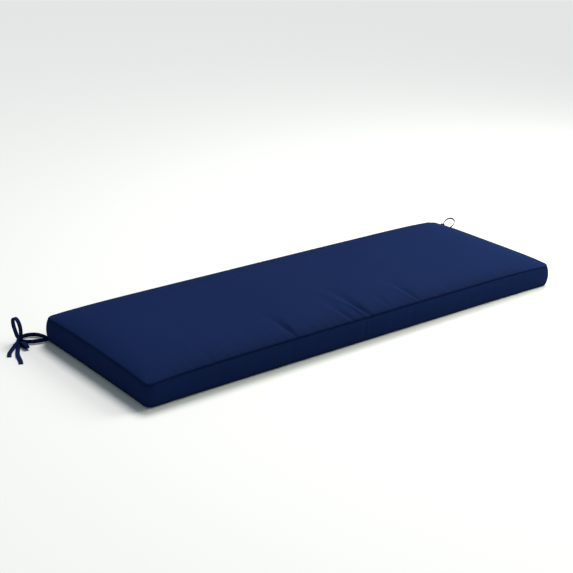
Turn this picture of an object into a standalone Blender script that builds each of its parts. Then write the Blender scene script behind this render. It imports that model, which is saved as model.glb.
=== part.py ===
"""A long box cushion for a bench seat, with a cloth tie at each back corner.

The cushion is one filled solid: a crowned top panel, a boxing band that bulges between
its two seams, and an underside that lies flat. Small folds run in from the long seams
where the cloth is gathered. Each tie is two sewn strips that leave a back corner, part
round an open eye, and end in a bow with two loops and two free ends. X runs along the
cushion, Y from its front to its back, and the origin is the middle of its underside.
"""

import math
from collections import namedtuple

import bmesh
import bpy
from mathutils import Vector

# Driving dimensions of the cushion, in metres
LENGTH = 1.415
DEPTH = 0.500
SEAM_HEIGHT = 0.0695
SEAM_DROP = 0.007
SEAM_DROP_POWER = 7
END_DROP_SHARE = 0.7
CROWN = 0.009
CORNER_RADIUS = 0.020

# How the filling shapes the cloth
SIDE_PULL = 0.004
END_PULL = 0.002
BAND_BULGE = 0.005
BULGE_POWER = 2.2
ROLL_RADIUS = 0.004
ROLL_SPREAD = 0.050
SEAM_RECESS = 0.0012
LOWER_SEAM_HEIGHT = 0.0025
LOWER_SEAM_WIDTH = 0.009
CROWN_END_POWER = 11.0
CROWN_SIDE_POWER = 3.5
SEAM_SHARPNESS = 0.75
FLAT_SHARPNESS = 1.0
FOLD_SPREAD = 0.62

# Where the cage of the cushion is cut
EDGE_STEPS = (0.003, LOWER_SEAM_WIDTH, CORNER_RADIUS, 0.050, 0.095)
BAND_LEVELS = (0.06, 0.32, 0.66, 0.94)
WIDEST_ALONG = 0.070
WIDEST_ACROSS = 0.058
CLOSEST = 0.006
CAGE_LEVELS = 1
FLAT_ANGLE = math.radians(0.05)
ON_RIM = 1e-5

HALF_LENGTH = LENGTH / 2
HALF_DEPTH = DEPTH / 2
FRONT = -1
BACK = 1

# Gathers that run in from a long seam: place along it, reach into the panel, half width, depth
Gather = namedtuple("Gather", "along side reach half_width depth")
GATHERS = (
    Gather(along=-0.365, side=FRONT, reach=0.070, half_width=0.013, depth=0.0014),
    Gather(along=-0.278, side=FRONT, reach=0.090, half_width=0.012, depth=0.0018),
    Gather(along=-0.255, side=FRONT, reach=0.160, half_width=0.013, depth=0.0034),
    Gather(along=-0.070, side=FRONT, reach=0.150, half_width=0.014, depth=0.0026),
    Gather(along=-0.009, side=FRONT, reach=0.230, half_width=0.014, depth=0.0048),
    Gather(along=0.070, side=FRONT, reach=0.100, half_width=0.013, depth=0.0014),
    Gather(along=0.115, side=FRONT, reach=0.070, half_width=0.012, depth=0.0012),
    Gather(along=0.174, side=FRONT, reach=0.160, half_width=0.013, depth=0.0034),
    Gather(along=0.225, side=FRONT, reach=0.070, half_width=0.012, depth=0.0014),
    Gather(along=0.285, side=FRONT, reach=0.070, half_width=0.013, depth=0.0012),
    Gather(along=-0.120, side=BACK, reach=0.080, half_width=0.014, depth=0.0014),
    Gather(along=-0.005, side=BACK, reach=0.100, half_width=0.014, depth=0.0016),
    Gather(along=0.200, side=BACK, reach=0.070, half_width=0.014, depth=0.0012),
)

# Upright wrinkles in the band, at the same places as some gathers
Wrinkle = namedtuple("Wrinkle", "along side half_width depth")
WRINKLES = (
    Wrinkle(along=-0.500, side=FRONT, half_width=0.016, depth=0.0012),
    Wrinkle(along=-0.278, side=FRONT, half_width=0.013, depth=0.0016),
    Wrinkle(along=-0.030, side=FRONT, half_width=0.013, depth=0.0018),
    Wrinkle(along=-0.009, side=FRONT, half_width=0.013, depth=0.0018),
    Wrinkle(along=0.140, side=FRONT, half_width=0.013, depth=0.0014),
    Wrinkle(along=0.020, side=BACK, half_width=0.016, depth=0.0014),
)

# The ties: a strip's width and thickness, and the gap between pieces that touch
STRIP_WIDTH = 0.012
STRIP_THICKNESS = 0.0018
TOUCH = 0.0003
STRIP_STEP = 0.007
ON_EDGE = TOUCH + STRIP_WIDTH / 2
LYING = TOUCH + STRIP_THICKNESS / 2
KNOT_SIZE = (0.0085, 0.0080, 0.0066)
KNOT_AROUND = 14
KNOT_RINGS = 10

# A step of a strip's route from its corner: outwards along X, back along Y, up, and the
# direction of the strip's width as a turn in plan and a share of standing on edge
Step = namedtuple("Step", "out back up turn stand")

# The side view of a bow's loop, as shares of its length and height
LoopPoint = namedtuple("LoopPoint", "along up")
LOOP_OUTLINE = (
    LoopPoint(along=0.06, up=0.13),
    LoopPoint(along=0.26, up=0.02),
    LoopPoint(along=0.50, up=0.00),
    LoopPoint(along=0.74, up=0.05),
    LoopPoint(along=0.93, up=0.24),
    LoopPoint(along=1.00, up=0.52),
    LoopPoint(along=0.93, up=0.82),
    LoopPoint(along=0.74, up=1.00),
    LoopPoint(along=0.50, up=0.93),
    LoopPoint(along=0.27, up=0.66),
    LoopPoint(along=0.06, up=0.36),
)

# A bow's loop: the direction it points in plan, its length, its height and its tilt upwards
Loop = namedtuple("Loop", "heading length height tilt")
Tie = namedtuple("Tie", "name side knot strands loops tails")

TIES = (
    Tie(
        name="tie_left",
        side=-1,
        knot=(0.069, 0.030),
        strands=(
            (
                Step(out=0.000, back=-0.001, up=ON_EDGE, turn=0, stand=1),
                Step(out=0.018, back=-0.001, up=ON_EDGE, turn=0, stand=1),
                Step(out=0.038, back=0.004, up=ON_EDGE, turn=0, stand=1),
                Step(out=0.056, back=0.014, up=ON_EDGE, turn=0, stand=1),
                Step(out=0.067, back=0.027, up=ON_EDGE, turn=0, stand=1),
            ),
            (
                Step(out=0.001, back=0.004, up=ON_EDGE, turn=0, stand=1),
                Step(out=0.004, back=0.022, up=ON_EDGE, turn=0, stand=1),
                Step(out=0.013, back=0.041, up=ON_EDGE, turn=0, stand=1),
                Step(out=0.029, back=0.052, up=ON_EDGE, turn=0, stand=1),
                Step(out=0.047, back=0.052, up=ON_EDGE, turn=0, stand=1),
                Step(out=0.060, back=0.043, up=ON_EDGE, turn=0, stand=1),
                Step(out=0.067, back=0.033, up=ON_EDGE, turn=0, stand=1),
            ),
        ),
        loops=(
            Loop(heading=80, length=0.067, height=0.031, tilt=62),
            Loop(heading=-86, length=0.054, height=0.013, tilt=0),
        ),
        tails=(
            (
                Step(out=0.072, back=0.029, up=0.0065, turn=56, stand=0),
                Step(out=0.083, back=0.022, up=0.0040, turn=52, stand=0),
                Step(out=0.095, back=0.011, up=LYING, turn=47, stand=0),
                Step(out=0.108, back=-0.003, up=LYING, turn=42, stand=0),
                Step(out=0.121, back=-0.019, up=0.0022, turn=36, stand=0),
                Step(out=0.131, back=-0.037, up=LYING, turn=29, stand=0),
            ),
            (
                Step(out=0.071, back=0.027, up=0.0080, turn=32, stand=0),
                Step(out=0.081, back=0.011, up=0.0055, turn=32, stand=0),
                Step(out=0.092, back=-0.007, up=LYING, turn=30, stand=0),
                Step(out=0.103, back=-0.027, up=LYING, turn=26, stand=0),
                Step(out=0.112, back=-0.049, up=0.0026, turn=20, stand=0),
                Step(out=0.118, back=-0.072, up=LYING, turn=18, stand=0),
                Step(out=0.126, back=-0.094, up=LYING, turn=21, stand=0),
            ),
        ),
    ),
    Tie(
        name="tie_right",
        side=1,
        knot=(0.092, 0.047),
        strands=(
            (
                Step(out=0.000, back=-0.001, up=ON_EDGE, turn=0, stand=1),
                Step(out=0.021, back=0.000, up=ON_EDGE, turn=0, stand=1),
                Step(out=0.045, back=0.007, up=ON_EDGE, turn=0, stand=1),
                Step(out=0.068, back=0.023, up=ON_EDGE, turn=0, stand=1),
                Step(out=0.089, back=0.043, up=ON_EDGE, turn=0, stand=1),
            ),
            (
                Step(out=0.001, back=0.004, up=ON_EDGE, turn=0, stand=1),
                Step(out=0.004, back=0.024, up=ON_EDGE, turn=0, stand=1),
                Step(out=0.015, back=0.046, up=ON_EDGE, turn=0, stand=1),
                Step(out=0.033, back=0.061, up=ON_EDGE, turn=0, stand=1),
                Step(out=0.055, back=0.066, up=ON_EDGE, turn=0, stand=1),
                Step(out=0.074, back=0.061, up=ON_EDGE, turn=0, stand=1),
                Step(out=0.088, back=0.051, up=ON_EDGE, turn=0, stand=1),
            ),
        ),
        loops=(
            Loop(heading=-74, length=0.067, height=0.031, tilt=35),
            Loop(heading=40, length=0.054, height=0.018, tilt=0),
        ),
        tails=(
            (
                Step(out=0.093, back=0.051, up=0.0065, turn=-5, stand=0),
                Step(out=0.093, back=0.067, up=0.0040, turn=-2, stand=0),
                Step(out=0.089, back=0.083, up=LYING, turn=8, stand=0),
                Step(out=0.083, back=0.101, up=LYING, turn=25, stand=0),
                Step(out=0.071, back=0.117, up=0.0022, turn=42, stand=0),
                Step(out=0.056, back=0.131, up=LYING, turn=47, stand=0),
            ),
            (
                Step(out=0.089, back=0.052, up=0.0080, turn=28, stand=0),
                Step(out=0.078, back=0.070, up=0.0145, turn=32, stand=0),
                Step(out=0.066, back=0.085, up=0.0060, turn=40, stand=0),
                Step(out=0.051, back=0.099, up=LYING, turn=48, stand=0),
                Step(out=0.032, back=0.111, up=LYING, turn=60, stand=0),
                Step(out=0.009, back=0.119, up=0.0026, turn=72, stand=0),
                Step(out=-0.015, back=0.124, up=LYING, turn=80, stand=0),
            ),
        ),
    ),
)

NAVY = (0.0060, 0.0152, 0.0660, 1.0)
CLOTH_ROUGHNESS = 0.72


def clear_scene():
    """Removes whatever the scene holds."""
    for item in list(bpy.data.objects):
        bpy.data.objects.remove(item, do_unlink=True)


def collection(name):
    """A new collection in the scene."""
    made = bpy.data.collections.new(name)
    bpy.context.scene.collection.children.link(made)
    return made


def cloth(name, colour, roughness):
    """A plain cloth material."""
    material = bpy.data.materials.new(name)
    material.use_nodes = True
    shader = material.node_tree.nodes["Principled BSDF"]
    shader.inputs["Base Color"].default_value = colour
    shader.inputs["Roughness"].default_value = roughness
    shader.inputs["Metallic"].default_value = 0.0
    return material


def smooth_share(value):
    """0 below 0, 1 above 1, and an even S between."""
    held = min(max(value, 0.0), 1.0)
    return held * held * (3.0 - 2.0 * held)


def stations(half, widest, folds):
    """The places where the cage is cut along one direction, ends left out."""
    places = [sign * (half - step) for step in EDGE_STEPS for sign in (-1, 1)]
    for fold in sorted(folds):
        if all(abs(fold - place) > CLOSEST for place in places):
            places.append(fold)
    places.sort()
    filled = [places[0]]
    for place in places[1:]:
        start = filled[-1]
        parts = max(1, math.ceil((place - start) / widest))
        filled += [start + (place - start) * part / parts for part in range(1, parts + 1)]
    return filled


def fold_places():
    """Cuts along X that carry the gathers and wrinkles: the bottom of each, and both its sides."""
    folds = list(GATHERS) + list(WRINKLES)
    bottoms = [fold.along for fold in folds]
    sides = [fold.along + sign * fold.half_width for fold in folds for sign in (-1, 1)]
    kept = []
    for place in bottoms + sides:
        if all(abs(place - other) > CLOSEST for other in kept):
            kept.append(place)
    return kept


def rolled_in(distance):
    """Where a panel's point lies in plan, as a distance from the seam: it first stands up in a roll."""
    arc = ROLL_RADIUS * math.pi / 2
    if distance <= arc:
        return ROLL_RADIUS * (1.0 - math.cos(distance / ROLL_RADIUS))
    share = smooth_share((distance - arc) / (ROLL_SPREAD - arc))
    return distance - (arc - ROLL_RADIUS) * (1.0 - share)


def plan_of(x, y, rolled):
    """A point of the plain rectangle in plan, with round corners and drawn in sides.

    Also gives the outward direction there and the distance inside the seam.
    """
    sign_x = math.copysign(1.0, x)
    sign_y = math.copysign(1.0, y)
    from_end = HALF_LENGTH - abs(x)
    from_side = HALF_DEPTH - abs(y)
    inside = max(min(from_end, from_side), 0.0)
    outward = (sign_x, 0.0) if from_end < from_side else (0.0, sign_y)
    if rolled:
        x = sign_x * (HALF_LENGTH - rolled_in(from_end))
        y = sign_y * (HALF_DEPTH - rolled_in(from_side))
    over_x = max(abs(x) - (HALF_LENGTH - CORNER_RADIUS), 0.0) / CORNER_RADIUS
    over_y = max(abs(y) - (HALF_DEPTH - CORNER_RADIUS), 0.0) / CORNER_RADIUS
    if over_x > 0 and over_y > 0:
        reach = max(over_x, over_y)
        if over_x >= over_y:
            angle = math.pi / 4 * over_y / over_x
        else:
            angle = math.pi / 2 - math.pi / 4 * over_x / over_y
        outward = (sign_x * math.cos(angle), sign_y * math.sin(angle))
        x = sign_x * (HALF_LENGTH - CORNER_RADIUS) + CORNER_RADIUS * reach * outward[0]
        y = sign_y * (HALF_DEPTH - CORNER_RADIUS) + CORNER_RADIUS * reach * outward[1]
    share_x = x / HALF_LENGTH
    share_y = y / HALF_DEPTH
    pulled_x = x - END_PULL * sign_x * share_x**4 * (1.0 - share_y**2)
    pulled_y = y - SIDE_PULL * sign_y * share_y**2 * (1.0 - share_x**4)
    return pulled_x, pulled_y, outward, inside


def seam_height(x, y):
    """Height of the upper seam, which drops towards the corners, where the filling is thin."""
    share_x = min(abs(x) / HALF_LENGTH, 1.0)
    share_y = min(abs(y) / HALF_DEPTH, 1.0)
    towards_corner = END_DROP_SHARE + (1.0 - END_DROP_SHARE) * share_y**4
    return SEAM_HEIGHT - SEAM_DROP * share_x**SEAM_DROP_POWER * towards_corner


def fold_depth(x, fold):
    """How deep a gather or wrinkle is at a place along its seam."""
    return fold.depth * math.exp(-(((x - fold.along) / (FOLD_SPREAD * fold.half_width)) ** 2))


def band_bulge(level):
    """How far the band stands out at a share of its height."""
    return BAND_BULGE * (1.0 - abs(2.0 * level - 1.0) ** BULGE_POWER)


def gathered(x, y):
    """How far the gathers lower the top panel at a point."""
    lowered = 0.0
    for fold in GATHERS:
        from_seam = HALF_DEPTH - fold.side * y
        if from_seam > fold.reach:
            continue
        lowered += fold_depth(x, fold) * (1.0 - smooth_share(from_seam / fold.reach))
    return lowered


def wrinkled(x, y):
    """How far the wrinkles draw the band in at a point."""
    drawn = 0.0
    for fold in WRINKLES:
        if fold.side * y > 0:
            drawn += fold_depth(x, fold)
    return drawn


def panel_height(x, y, inside):
    """Height of the top panel: a small roll beside the seam, and the crown."""
    turned = min(inside / ROLL_RADIUS, math.pi / 2)
    share_x = min(abs(x) / HALF_LENGTH, 1.0)
    share_y = min(abs(y) / HALF_DEPTH, 1.0)
    full = (1.0 - share_x**CROWN_END_POWER) * (1.0 - share_y**CROWN_SIDE_POWER)
    fade = smooth_share(inside / EDGE_STEPS[1])
    lowered = gathered(x, y) * fade
    return seam_height(x, y) + ROLL_RADIUS * math.sin(turned) + CROWN * full - lowered


def cushion_point(x, y, level):
    """Where a point of the plain box lies on the filled cushion."""
    placed_x, placed_y, outward, inside = plan_of(x, y, rolled=level >= 1.0)
    lower = LOWER_SEAM_HEIGHT * max(0.0, 1.0 - inside / LOWER_SEAM_WIDTH) ** 2
    out = band_bulge(level) - wrinkled(x, y) * math.sin(math.pi * level)
    if level <= 0.0:
        height = lower
    elif level >= 1.0:
        height = panel_height(x, y, inside)
    else:
        height = lower + (seam_height(x, y) - lower) * level
    if inside > ON_RIM:
        out = 0.0
    elif level <= 0.0 or level >= 1.0:
        out = -SEAM_RECESS
    return Vector((placed_x + out * outward[0], placed_y + out * outward[1], height))


def cut_box():
    """A closed box, one unit high, cut along every station."""
    box = bmesh.new()
    bmesh.ops.create_cube(box, size=1.0)
    for vert in box.verts:
        vert.co = Vector((vert.co.x * LENGTH, vert.co.y * DEPTH, vert.co.z + 0.5))
    cuts = (
        (Vector((1, 0, 0)), stations(HALF_LENGTH, WIDEST_ALONG, fold_places())),
        (Vector((0, 1, 0)), stations(HALF_DEPTH, WIDEST_ACROSS, [])),
        (Vector((0, 0, 1)), BAND_LEVELS),
    )
    for direction, places in cuts:
        for place in places:
            everything = box.verts[:] + box.edges[:] + box.faces[:]
            bmesh.ops.bisect_plane(
                box, geom=everything, dist=1e-6, plane_co=direction * place, plane_no=direction
            )
    return box


def on_seam(vert):
    """Whether a vertex of the plain box is on its upper or lower rim."""
    from_rim = min(HALF_LENGTH - abs(vert.co.x), HALF_DEPTH - abs(vert.co.y))
    return from_rim < ON_RIM and not ON_RIM < vert.co.z < 1.0 - ON_RIM


def on_flat_edge(vert):
    """Whether a vertex of the plain box is where the flat underside ends."""
    from_rim = min(HALF_LENGTH - abs(vert.co.x), HALF_DEPTH - abs(vert.co.y))
    return abs(from_rim - LOWER_SEAM_WIDTH) < ON_RIM and vert.co.z < ON_RIM


def build_cushion(parts, material):
    """The filled cushion: a cut box shaped as a cage, and smoothed."""
    cage = cut_box()
    crease = cage.edges.layers.float.new("crease_edge")
    for edge in cage.edges:
        if all(on_seam(vert) for vert in edge.verts):
            edge[crease] = SEAM_SHARPNESS
        elif all(on_flat_edge(vert) for vert in edge.verts):
            edge[crease] = FLAT_SHARPNESS
    shaped = {vert: cushion_point(vert.co.x, vert.co.y, vert.co.z) for vert in cage.verts}
    for vert, place in shaped.items():
        vert.co = place
    mesh = bpy.data.meshes.new("cushion")
    cage.to_mesh(mesh)
    cage.free()
    mesh.materials.append(material)
    mesh.shade_smooth()
    cushion = bpy.data.objects.new("cushion", mesh)
    parts.objects.link(cushion)
    smoothing = cushion.modifiers.new("soft form", "SUBSURF")
    smoothing.levels = CAGE_LEVELS
    smoothing.render_levels = CAGE_LEVELS
    flat = cushion.modifiers.new("flat underside", "DECIMATE")
    flat.decimate_type = "DISSOLVE"
    flat.angle_limit = FLAT_ANGLE
    return cushion


def smooth_route(steps):
    """Points a few millimetres apart on a smooth curve through a route's steps."""
    rows = [Vector(step) for step in steps]
    ends = [2 * rows[0] - rows[1]] + rows + [2 * rows[-1] - rows[-2]]
    route = [rows[0]]
    for before, start, end, after in zip(ends, ends[1:], ends[2:], ends[3:]):
        parts = max(2, round((end.to_3d() - start.to_3d()).length / STRIP_STEP))
        for part in range(1, parts + 1):
            t = part / parts
            route.append(
                0.5
                * (
                    2 * start
                    + t * (end - before)
                    + t**2 * (2 * before - 5 * start + 4 * end - after)
                    + t**3 * (3 * start - before - 3 * end + after)
                )
            )
    return route


def strip_mesh(name, places, widths):
    """A flat strip along a line of places, with the direction of its width at each."""
    strip = bmesh.new()
    rings = []
    for number, place in enumerate(places):
        before = places[max(number - 1, 0)]
        after = places[min(number + 1, len(places) - 1)]
        forward = (after - before).normalized()
        width = widths[number] - forward * widths[number].dot(forward)
        width.normalize()
        thick = forward.cross(width)
        corners = ((-1, -1), (1, -1), (1, 1), (-1, 1))
        ring = [
            strip.verts.new(
                place + across * STRIP_WIDTH / 2 * width + up * STRIP_THICKNESS / 2 * thick
            )
            for across, up in corners
        ]
        if rings:
            for side in range(4):
                turned = (side + 1) % 4
                strip.faces.new((rings[-1][side], rings[-1][turned], ring[turned], ring[side]))
        rings.append(ring)
    strip.faces.new(rings[0])
    strip.faces.new(rings[-1])
    bmesh.ops.recalc_face_normals(strip, faces=strip.faces)
    mesh = bpy.data.meshes.new(name)
    strip.to_mesh(mesh)
    strip.free()
    return mesh


def corner_exit(side):
    """Where a tie leaves the cushion: just outside the middle of a back corner."""
    centre = Vector((side * (HALF_LENGTH - CORNER_RADIUS), HALF_DEPTH - CORNER_RADIUS, 0.0))
    bulge = band_bulge(STRIP_WIDTH / SEAM_HEIGHT)
    outward = Vector((side, 1.0, 0.0)).normalized()
    return centre + outward * (CORNER_RADIUS + bulge + STRIP_THICKNESS / 2)


def width_direction(step, side):
    """The direction of a strip's width: flat in plan, upright, or between."""
    turn = math.radians(step[3])
    upright = math.radians(90.0 * step[4])
    flat = Vector((side * math.cos(turn), math.sin(turn), 0.0))
    return flat * math.cos(upright) + Vector((0.0, 0.0, math.sin(upright)))


def routed_strip(name, tie, steps):
    """A strip's mesh from the steps of its route."""
    start = corner_exit(tie.side)
    route = smooth_route(steps)
    places = [start + Vector((tie.side * row[0], row[1], max(row[2], LYING))) for row in route]
    return strip_mesh(name, places, [width_direction(row, tie.side) for row in route])


def loop_steps(tie, loop):
    """A bow's loop as the steps of a route: a drop shape that stands up from the knot."""
    heading = math.radians(loop.heading)
    tilt = math.radians(loop.tilt)
    steps = []
    for point in LOOP_OUTLINE:
        along = loop.length * point.along
        up = (loop.height - STRIP_THICKNESS) * point.up
        reach = along * math.cos(tilt) - up * math.sin(tilt)
        steps.append(
            Step(
                out=tie.knot[0] + reach * math.cos(heading),
                back=tie.knot[1] + reach * math.sin(heading),
                up=LYING + along * math.sin(tilt) + up * math.cos(tilt),
                turn=loop.heading + 90,
                stand=0,
            )
        )
    return steps


def knot_mesh(name, tie):
    """The wrapped middle of a bow, flat below where it rests."""
    start = corner_exit(tie.side)
    centre = start + Vector((tie.side * tie.knot[0], tie.knot[1], TOUCH + KNOT_SIZE[2]))
    knot = bmesh.new()
    bmesh.ops.create_uvsphere(knot, u_segments=KNOT_AROUND, v_segments=KNOT_RINGS, radius=1.0)
    for vert in knot.verts:
        placed = Vector(side * size for side, size in zip(vert.co, KNOT_SIZE))
        vert.co = placed + centre
        vert.co.z = max(vert.co.z, 2 * TOUCH)
    bmesh.ops.remove_doubles(knot, verts=knot.verts, dist=1e-6)
    mesh = bpy.data.meshes.new(name)
    knot.to_mesh(mesh)
    knot.free()
    return mesh


def build_tie(tie, parts, cutters, material):
    """One corner's tie: its strips pass through the knot, so all of it is one solid."""
    knot = bpy.data.objects.new(tie.name, knot_mesh(tie.name, tie))
    knot.data.materials.append(material)
    parts.objects.link(knot)
    strips = [("strand", steps) for steps in tie.strands]
    strips += [("loop", loop_steps(tie, loop)) for loop in tie.loops]
    strips += [("tail", steps) for steps in tie.tails]
    for number, (kind, steps) in enumerate(strips):
        name = f"{tie.name}_{kind}_{number + 1}"
        strip = bpy.data.objects.new(name, routed_strip(name, tie, steps))
        strip.data.materials.append(material)
        strip.hide_render = True
        strip.display_type = "WIRE"
        cutters.objects.link(strip)
        joined = knot.modifiers.new(name, "BOOLEAN")
        joined.operation = "UNION"
        joined.solver = "EXACT"
        joined.object = strip
    return knot


def main():
    """Builds the cushion and its ties."""
    clear_scene()
    parts = collection("bench_cushion")
    cutters = collection("tie_strips")
    build_cushion(parts, cloth("navy_cover", NAVY, CLOTH_ROUGHNESS))
    tie_cloth = cloth("navy_tie", NAVY, CLOTH_ROUGHNESS)
    for tie in TIES:
        build_tie(tie, parts, cutters, tie_cloth)


main()
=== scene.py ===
"""The looks of a long navy box cushion with a cloth tie at each back corner.

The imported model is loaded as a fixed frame. The cover stands for the plain cushion solid: its
top panel, band and underside are one sewn skin, laid out as flat pattern pieces. Its sizes are
close to the solid's, and its gathers are finer. Each tie is two sewn strips and the wrapped
knot of their bow.
"""

from __future__ import annotations

import logging
import math
from dataclasses import dataclass, field
from enum import Enum
from typing import Any, Iterable, NamedTuple, Sequence

import bmesh
import bpy
import numpy as np
from bpy.types import Material, Mesh, Node, NodeSocket, Object
from mathutils import Matrix, Vector, noise

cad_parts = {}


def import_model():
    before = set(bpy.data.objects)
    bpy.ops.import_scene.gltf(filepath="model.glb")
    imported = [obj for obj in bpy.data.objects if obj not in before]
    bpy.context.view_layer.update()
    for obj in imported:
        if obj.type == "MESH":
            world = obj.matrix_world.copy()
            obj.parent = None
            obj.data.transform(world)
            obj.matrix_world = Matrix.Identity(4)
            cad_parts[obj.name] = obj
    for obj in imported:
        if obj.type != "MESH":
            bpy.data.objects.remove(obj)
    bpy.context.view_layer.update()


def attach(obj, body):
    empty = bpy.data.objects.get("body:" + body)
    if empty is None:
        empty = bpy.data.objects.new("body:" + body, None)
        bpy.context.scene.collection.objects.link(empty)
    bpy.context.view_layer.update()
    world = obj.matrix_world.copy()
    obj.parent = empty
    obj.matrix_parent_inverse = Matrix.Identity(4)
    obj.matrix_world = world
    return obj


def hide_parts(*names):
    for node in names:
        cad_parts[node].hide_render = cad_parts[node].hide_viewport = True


LOG = logging.getLogger("bench_cushion")
PATTERN = "pattern"
FROM_SEAM = "from_seam"
# GATHERED sets where the streaks raise the cloth and where it is darkened as painted shade.
GATHERED = "gathered"
# Places closer than this, in metres, count as one.
TOUCHING = 1e-6
Colour = tuple[float, float, float]
Triple = tuple[float, float, float]
Pair = tuple[float, float]


class Side(Enum):
    """A long side of the cushion, by the sign of Y there."""

    FRONT = -1
    BACK = 1


class Corner(Enum):
    """A back corner of the cushion, by the sign of X there."""

    LEFT = -1
    RIGHT = 1


def smooth_share(value: float) -> float:
    """0 below 0, 1 above 1, and an even S between."""
    held = min(max(value, 0.0), 1.0)
    return held * held * (3.0 - 2.0 * held)


def bell(value: float) -> float:
    """1 at 0, falling off alike on both sides."""
    return math.exp(-(value**2))


def curve_through(rows: Sequence[Sequence[float]], step: float) -> list[np.ndarray]:
    """Runs a smooth curve through rows whose first three numbers are a place.

    Args:
        rows: The rows that the curve passes through, in order.
        step: About how far apart the curve's own rows are, in metres.

    Returns:
        The curve's rows, with as many numbers each as the given ones.
    """
    given = [np.array(row, dtype=float) for row in rows]
    ends = [2 * given[0] - given[1], *given, 2 * given[-1] - given[-2]]
    curve = [given[0]]
    for before, start, end, after in zip(ends, ends[1:], ends[2:], ends[3:]):
        parts = max(2, round(float(np.linalg.norm(end[:3] - start[:3])) / step))
        for part in range(1, parts + 1):
            t = part / parts
            square = 2 * before - 5 * start + 4 * end - after
            cube = 3 * start - before - 3 * end + after
            curve.append(0.5 * (2 * start + t * (end - before) + t**2 * square + t**3 * cube))
    return curve


def put_in_scene(name: str, data: Any) -> Object:
    """Makes an object from its data and links it to the scene."""
    bpy.context.scene.collection.objects.link(made := bpy.data.objects.new(name, data))
    return made


class Value:
    """A number that varies over a surface, for use in Python expressions."""

    def __init__(self, graph: Graph, socket: NodeSocket) -> None:
        """Wraps an output socket of a graph's node."""
        self.graph = graph
        self.socket = socket

    def _with(self, operation: str, *terms: Value | float) -> Value:
        """One Math node on the given terms."""
        node = self.graph.node("ShaderNodeMath", {"operation": operation}, dict(enumerate(terms)))
        return Value(self.graph, node.outputs[0])

    def __add__(self, other: Value | float) -> Value:
        """Sum."""
        return self._with("ADD", self, other)

    __radd__ = __add__

    def __sub__(self, other: Value | float) -> Value:
        """Difference."""
        return self._with("SUBTRACT", self, other)

    def __rsub__(self, other: Value | float) -> Value:
        """Difference, reflected."""
        return self._with("SUBTRACT", other, self)

    def __mul__(self, other: Value | float) -> Value:
        """Product."""
        return self._with("MULTIPLY", self, other)

    __rmul__ = __mul__

    def __truediv__(self, other: Value | float) -> Value:
        """Quotient."""
        return self._with("DIVIDE", self, other)

    def __abs__(self) -> Value:
        """Size without sign."""
        return self._with("ABSOLUTE", self)

    def sine(self) -> Value:
        """Sine of an angle in radians."""
        return self._with("SINE", self)

    def exp(self) -> Value:
        """The number e to this power."""
        return self._with("EXPONENT", self)

    def larger(self, other: Value | float) -> Value:
        """The larger of two."""
        return self._with("MAXIMUM", self, other)

    def above(self, limit: float) -> Value:
        """1 above a limit and 0 below it."""
        return self._with("GREATER_THAN", self, limit)


class Graph:
    """A material's nodes, with a Principled shader at their end."""

    def __init__(self, name: str) -> None:
        """Makes an empty material.

        Args:
            name: The material's name.
        """
        self.made = bpy.data.materials.new(name)
        self.made.use_nodes = True
        self.tree = self.made.node_tree
        self.tree.nodes.clear()

    def material(self, sockets: dict[str, Any]) -> Material:
        """Ends the graph with its shader.

        Args:
            sockets: Values or links for the shader, by name.

        Returns:
            The material.
        """
        shader = self.node("ShaderNodeBsdfPrincipled", {}, sockets)
        self.node("ShaderNodeOutputMaterial", {}, {"Surface": shader.outputs["BSDF"]})
        return self.made

    def node(self, kind: str, settings: dict[str, Any], sockets: dict[Any, Any]) -> Node:
        """Makes one node.

        Args:
            kind: The node's type.
            settings: Its properties, which are set first.
            sockets: Values or links for its inputs, by name or number.

        Returns:
            The node.
        """
        made = self.tree.nodes.new(kind)
        for name, setting in settings.items():
            setattr(made, name, setting)
        for key, given in sockets.items():
            self.feed(made.inputs[key], given)
        return made

    def feed(self, target: NodeSocket, given: Any) -> None:
        """Links a value or socket to an input, or sets a plain number there.

        Args:
            target: The input.
            given: What it gets.
        """
        if isinstance(given, Value):
            given = given.socket
        if isinstance(given, NodeSocket):
            self.tree.links.new(given, target)
        else:
            target.default_value = given

    def noise(self, place: NodeSocket, scale: float, detail: float) -> Value:
        """Soft random numbers between 0 and 1, with scale lumps in a metre."""
        sockets = {"Vector": place, "Scale": scale, "Detail": detail}
        return Value(self, self.node("ShaderNodeTexNoise", {}, sockets).outputs[0])

    def attribute(self, name: str) -> Value:
        """A number stored on the mesh."""
        stored = self.node("ShaderNodeAttribute", {"attribute_name": name}, {})
        return Value(self, stored.outputs[2])

    def blend(self, share: Value, low: Colour, high: Colour) -> NodeSocket:
        """A colour between two, by a share."""
        sockets = {0: share, 6: (*low, 1.0), 7: (*high, 1.0)}
        return self.node("ShaderNodeMix", {"data_type": "RGBA"}, sockets).outputs[2]

    def bump(self, height: Value, distance: float, under: Any = None) -> NodeSocket:
        """A normal raised by a height between 0 and 1.

        Args:
            height: The height, as a share of distance.
            distance: How high 1 stands, in metres.
            under: A normal that this one adds to.

        Returns:
            The normal.
        """
        sockets = {"Strength": 1.0, "Distance": distance, "Height": height}
        if under is not None:
            sockets["Normal"] = under
        return self.node("ShaderNodeBump", {}, sockets).outputs[0]


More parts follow.
